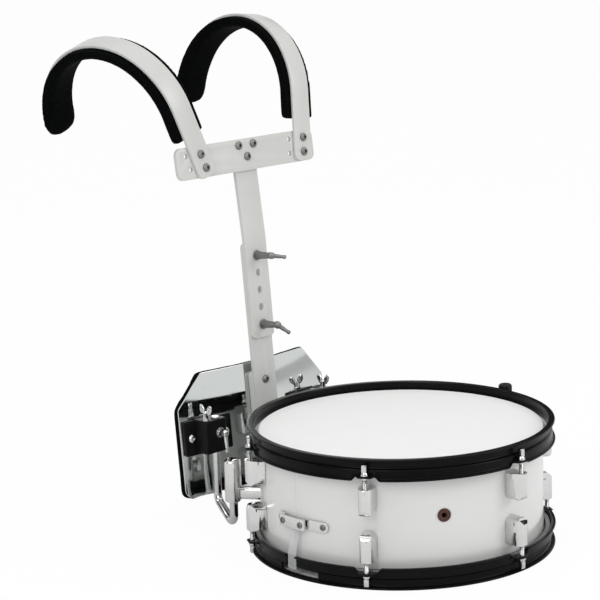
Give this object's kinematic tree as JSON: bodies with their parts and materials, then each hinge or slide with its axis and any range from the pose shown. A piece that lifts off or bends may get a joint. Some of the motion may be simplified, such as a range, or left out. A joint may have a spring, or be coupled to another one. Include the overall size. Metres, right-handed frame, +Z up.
{
  "type": "marching snare drum with shoulder carrier",
  "caption": "Marching snare drum with black hoops and a snare strainer, hung on a carrier with a belly plate, an adjustable post and two padded shoulder hooks.",
  "frame": {"origin": "on the floor, under the middle of the whole footprint", "axes": "+Z up, the drum's axis; -Y the drum's front, away from the player; +Y towards the player; +X the player's left, where the strainer is"},
  "size_m": [0.4058, 0.688, 0.6429],
  "materials": {
    "white_wrap": "wooden shell wrapped in glossy white plastic",
    "head_film": "smooth matt white film",
    "black_enamel": "glossy black enamel",
    "cast_chrome": "polished chrome on castings",
    "chrome_steel": "polished chrome on steel",
    "grommet": "brown-red, satin",
    "steel_wire": "bright wire",
    "clear_strap": "milky clear film",
    "black_plastic": "satin black",
    "white_paint": "aluminium under light grey-white satin paint",
    "dull_zinc": "dull zinc",
    "mirror_plate": "mirror polished sheet",
    "black_foam": "foam in matt black cloth",
    "black_bracket": "satin black over aluminium"
  },
  "bodies": {
    "drum": {"shell": "white_wrap", "batter_head": "head_film", "snare_head": "head_film", "batter_hoop": "black_enamel", "snare_hoop": "black_enamel", "batter_lug_1": "cast_chrome", "batter_lug_2": "cast_chrome", "batter_lug_3": "cast_chrome", "batter_lug_4": "cast_chrome", "batter_lug_5": "cast_chrome", "batter_lug_6": "cast_chrome", "snare_lug_1": "cast_chrome", "snare_lug_2": "cast_chrome", "snare_lug_3": "cast_chrome", "snare_lug_4": "cast_chrome", "snare_lug_5": "cast_chrome", "snare_lug_6": "cast_chrome", "batter_tension_rod_1": "chrome_steel", "batter_tension_rod_2": "chrome_steel", "batter_tension_rod_3": "chrome_steel", "batter_tension_rod_4": "chrome_steel", "batter_tension_rod_5": "chrome_steel", "batter_tension_rod_6": "chrome_steel", "snare_tension_rod_1": "chrome_steel", "snare_tension_rod_2": "chrome_steel", "snare_tension_rod_3": "chrome_steel", "snare_tension_rod_4": "chrome_steel", "snare_tension_rod_5": "chrome_steel", "snare_tension_rod_6": "chrome_steel", "vent_grommet": "grommet", "snare_wires": "steel_wire", "butt_plate": "chrome_steel", "butt_clamp": "chrome_steel", "butt_strap": "clear_strap", "strainer_base": "chrome_steel", "strainer_strap": "clear_strap", "receiver_left": "cast_chrome", "receiver_right": "cast_chrome"},
    "strainer_lever": {"strainer_lever": "cast_chrome"},
    "strainer_carriage": {"strainer_carriage": "cast_chrome"},
    "strainer_knob": {"strainer_knob": "black_plastic"},
    "j_rods": {"j_rod_left": "chrome_steel", "j_rod_right": "chrome_steel"},
    "carrier_lower": {"post_lower_bar": "white_paint", "belly_plate": "mirror_plate", "belly_pad": "black_foam", "bracket_left": "black_bracket", "bracket_right": "black_bracket"},
    "bracket_wing_screw_left": {"bracket_wing_screw_left": "cast_chrome"},
    "bracket_wing_screw_right": {"bracket_wing_screw_right": "cast_chrome"},
    "bracket_lever_screw_left": {"bracket_lever_screw_left": "cast_chrome"},
    "bracket_lever_screw_right": {"bracket_lever_screw_right": "cast_chrome"},
    "carrier_upper": {"post_upper_bar": "white_paint", "crossbar": "white_paint", "shoulder_bar_left": "white_paint", "shoulder_bar_right": "white_paint", "shoulder_pad_left": "black_foam", "shoulder_pad_right": "black_foam"},
    "post_lever_screw_1": {"post_lever_screw_1": "dull_zinc"},
    "post_lever_screw_2": {"post_lever_screw_2": "dull_zinc"}
  },
  "joints": [
    {"name": "lever_throw", "type": "hinge", "parent": "drum", "child": "strainer_lever", "pos_m": [0.18359, -0.1425, 0.09], "axis": [0, -1, 0], "range_deg": [0, 90]},
    {"name": "carriage_drop", "type": "slide", "parent": "drum", "child": "strainer_carriage", "axis": [0, 0, 1], "range_m": [-0.0045, 0]},
    {"name": "knob_turn", "type": "hinge", "parent": "strainer_carriage", "child": "strainer_knob", "pos_m": [0.19459, -0.1425, 0.11], "axis": [0, 0, 1], "continuous": true},
    {"name": "hooks_lift_out", "type": "slide", "parent": "drum", "child": "j_rods", "axis": [0, 0, 1], "range_m": [-0.048, 0]},
    {"name": "carrier_height", "type": "slide", "parent": "j_rods", "child": "carrier_lower", "axis": [0, 0, 1], "range_m": [-0.02, 0.03]},
    {"name": "wing_screw_left_turn", "type": "hinge", "parent": "carrier_lower", "child": "bracket_wing_screw_left", "pos_m": [0.09869, 0.0999, 0.13749], "axis": [0, 0, 1], "continuous": true},
    {"name": "wing_screw_right_turn", "type": "hinge", "parent": "carrier_lower", "child": "bracket_wing_screw_right", "pos_m": [-0.11851, 0.0999, 0.13749], "axis": [0, 0, 1], "continuous": true},
    {"name": "lever_screw_left_turn", "type": "hinge", "parent": "carrier_lower", "child": "bracket_lever_screw_left", "pos_m": [0.08109, 0.0927, 0.11919], "axis": [0, -1, 0], "continuous": true},
    {"name": "lever_screw_right_turn", "type": "hinge", "parent": "carrier_lower", "child": "bracket_lever_screw_right", "pos_m": [-0.10091, 0.0927, 0.11919], "axis": [0, -1, 0], "continuous": true},
    {"name": "post_height", "type": "slide", "parent": "carrier_lower", "child": "carrier_upper", "axis": [0, 0.0872, 0.9962], "range_m": [-0.0095, 0.0065]},
    {"name": "post_screw_1_turn", "type": "hinge", "parent": "carrier_upper", "child": "post_lever_screw_1", "pos_m": [-0.00991, 0.10035, 0.24671], "axis": [0, -0.9962, 0.0872], "continuous": true},
    {"name": "post_screw_2_turn", "type": "hinge", "parent": "carrier_upper", "child": "post_lever_screw_2", "pos_m": [-0.00991, 0.10837, 0.33836], "axis": [0, -0.9962, 0.0872], "continuous": true}
  ],
  "couplings": [
    {"joint": "carriage_drop", "follows": "lever_throw", "m_per_rad": -0.0028647}
  ]
}
